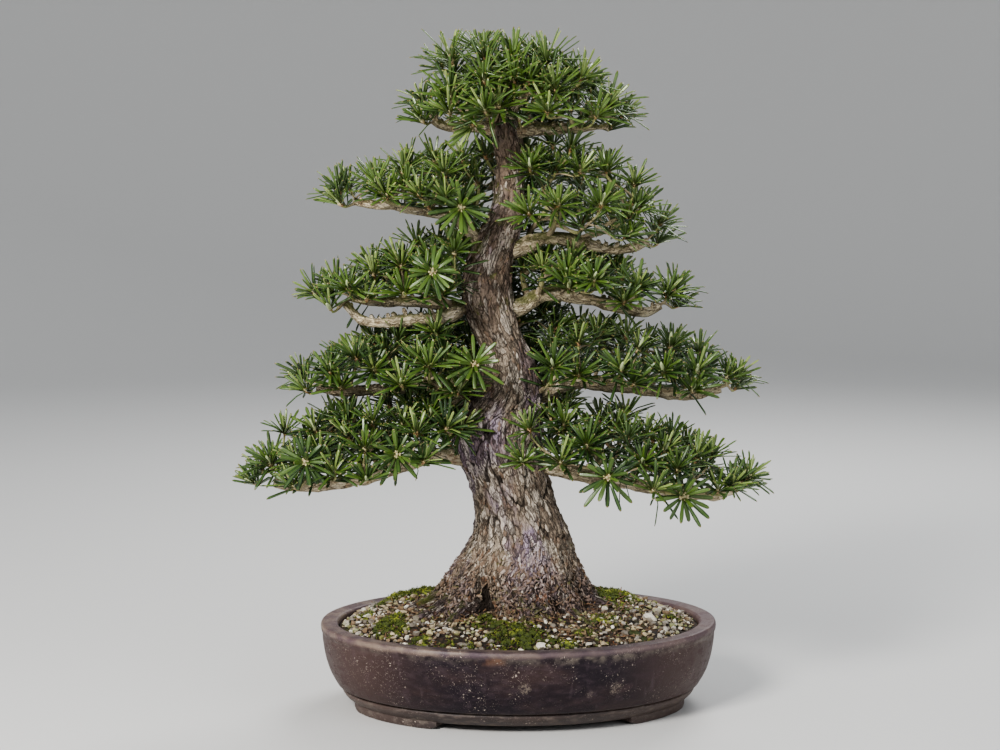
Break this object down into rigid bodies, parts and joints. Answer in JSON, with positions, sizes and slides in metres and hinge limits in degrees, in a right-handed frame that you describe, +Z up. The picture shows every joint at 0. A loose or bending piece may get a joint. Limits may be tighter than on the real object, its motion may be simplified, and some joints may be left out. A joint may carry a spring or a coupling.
{
  "type": "japanese umbrella pine bonsai",
  "caption": "Japanese umbrella pine bonsai with tiers of needle whorls on a flared trunk, in an oval unglazed clay pot.",
  "frame": {"origin": "centre of the bounding box, on the standing surface under the pot's feet", "axes": "+Z up the tree, +X to the right along the pot's long axis, -Y towards the front of the tree"},
  "size_m": [0.6246, 0.3964, 0.7848],
  "materials": {
    "unglazed_clay": "unglazed, matt, worn",
    "screen_plastic": "matt",
    "soil_gravel": "loose gravel over humus",
    "bark": "rough, fissured, flaking",
    "needle_green": "waxy leaf"
  },
  "bodies": {
    "root": {"drain_screen_left": "screen_plastic", "drain_screen_right": "screen_plastic", "needles_crown_back_tip": "needle_green", "needles_crown_front_tip": "needle_green", "needles_crown_left_front": "needle_green", "needles_crown_left_rear": "needle_green", "needles_crown_left_tip": "needle_green", "needles_crown_right_front": "needle_green", "needles_crown_right_rear": "needle_green", "needles_crown_right_tip": "needle_green", "needles_crown_top": "needle_green", "needles_tier1_back_left": "needle_green", "needles_tier1_back_right": "needle_green", "needles_tier1_back_tip": "needle_green", "needles_tier1_left_front_inner": "needle_green", "needles_tier1_left_front_outer": "needle_green", "needles_tier1_left_rear_inner": "needle_green", "needles_tier1_left_rear_outer": "needle_green", "needles_tier1_left_tip": "needle_green", "needles_tier1_right_front_inner": "needle_green", "needles_tier1_right_front_outer": "needle_green", "needles_tier1_right_rear_inner": "needle_green", "needles_tier1_right_rear_outer": "needle_green", "needles_tier1_right_tip": "needle_green", "needles_tier2_back_left": "needle_green", "needles_tier2_back_right": "needle_green", "needles_tier2_back_tip": "needle_green", "needles_tier2_left_front_inner": "needle_green", "needles_tier2_left_front_outer": "needle_green", "needles_tier2_left_rear_inner": "needle_green", "needles_tier2_left_rear_outer": "needle_green", "needles_tier2_left_tip": "needle_green", "needles_tier2_right_front_inner": "needle_green", "needles_tier2_right_front_outer": "needle_green", "needles_tier2_right_rear_inner": "needle_green", "needles_tier2_right_rear_outer": "needle_green", "needles_tier2_right_tip": "needle_green", "needles_tier3_back_left": "needle_green", "needles_tier3_back_right": "needle_green", "needles_tier3_back_tip": "needle_green", "needles_tier3_left_front_inner": "needle_green", "needles_tier3_left_front_outer": "needle_green", "needles_tier3_left_rear_inner": "needle_green", "needles_tier3_left_rear_outer": "needle_green", "needles_tier3_left_tip": "needle_green", "needles_tier3_right_front": "needle_green", "needles_tier3_right_rear": "needle_green", "needles_tier3_right_tip": "needle_green", "needles_tier4_back_left": "needle_green", "needles_tier4_back_right": "needle_green", "needles_tier4_back_tip": "needle_green", "needles_tier4_left_front": "needle_green", "needles_tier4_left_rear": "needle_green", "needles_tier4_left_tip": "needle_green", "needles_tier4_right_front": "needle_green", "needles_tier4_right_rear": "needle_green", "needles_tier4_right_tip": "needle_green", "pot": "unglazed_clay", "soil": "soil_gravel", "trunk": "bark"}
  },
  "joints": []
}
